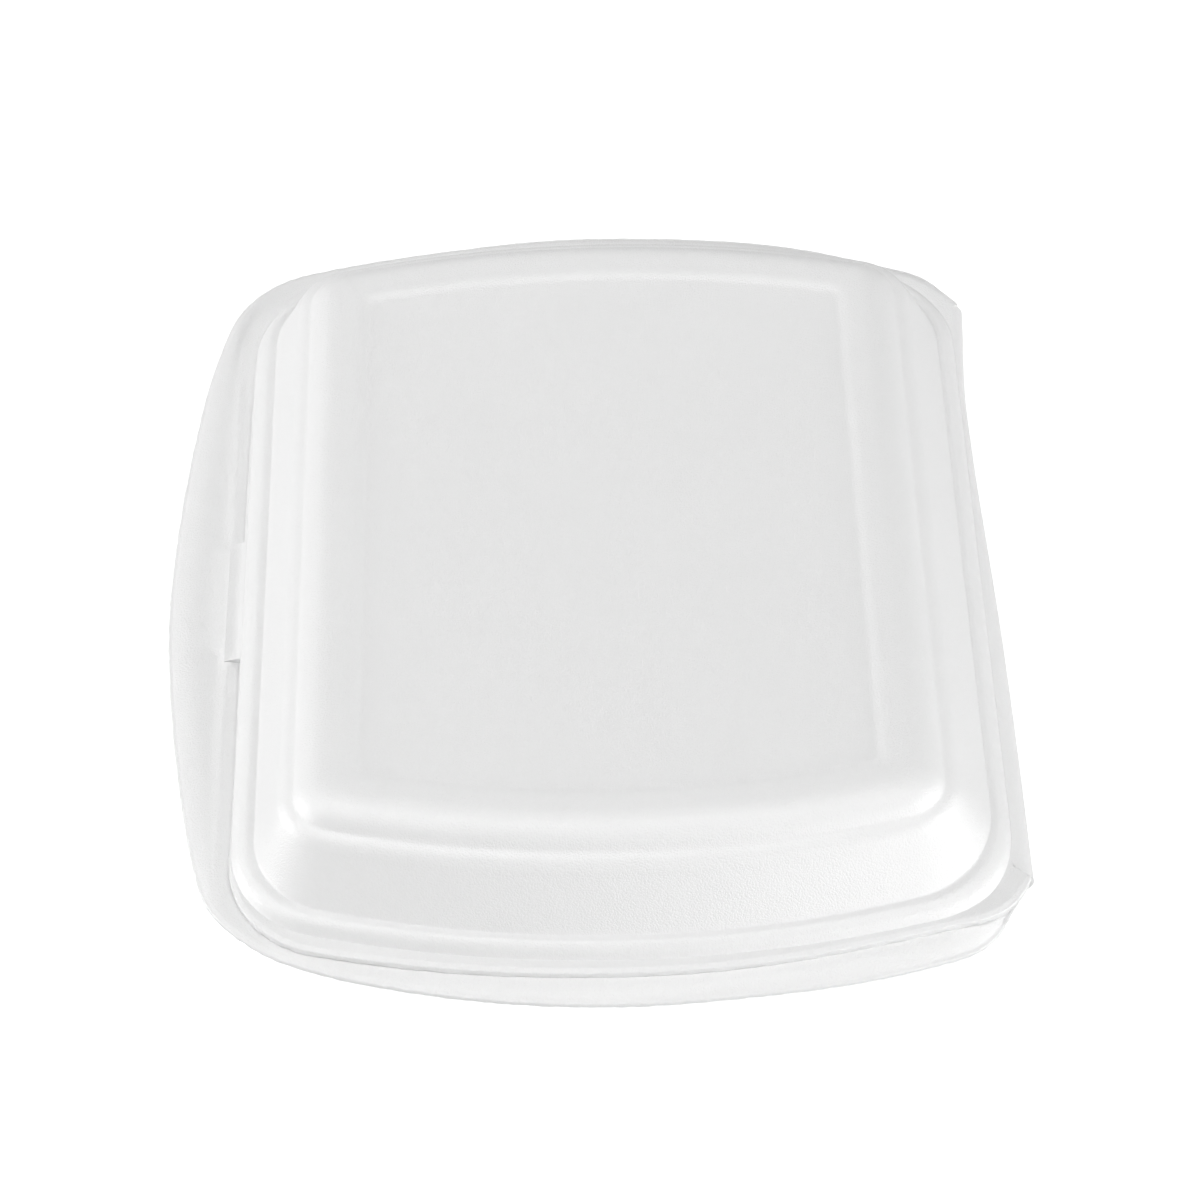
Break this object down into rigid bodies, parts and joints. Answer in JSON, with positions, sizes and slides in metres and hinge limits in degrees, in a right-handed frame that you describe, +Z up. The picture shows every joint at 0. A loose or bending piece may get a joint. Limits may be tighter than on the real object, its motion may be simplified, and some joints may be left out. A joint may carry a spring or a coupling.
{
  "type": "hinged foam food box",
  "caption": "Closed white foam takeaway box: bowed tray with a flat flange and curved front lip, and a tiered lid on a living hinge with a front tongue in a slot.",
  "frame": {"origin": "centre of the bounding box's bottom face, on the plane the closed box stands on", "axes": "+X from the front lip to the hinge, +Y along the hinge line, +Z up"},
  "size_m": [0.2032, 0.2432, 0.0696],
  "materials": {
    "foam": "white expanded foam with a fine satin grain"
  },
  "bodies": {
    "base": {"tray": "foam"},
    "cover": {"lid": "foam"}
  },
  "joints": [
    {"name": "lid_hinge", "type": "hinge", "parent": "base", "child": "cover", "pos_m": [0.10165, 0, 0.0422], "axis": [0, 1, 0], "range_deg": [0, 180]}
  ]
}
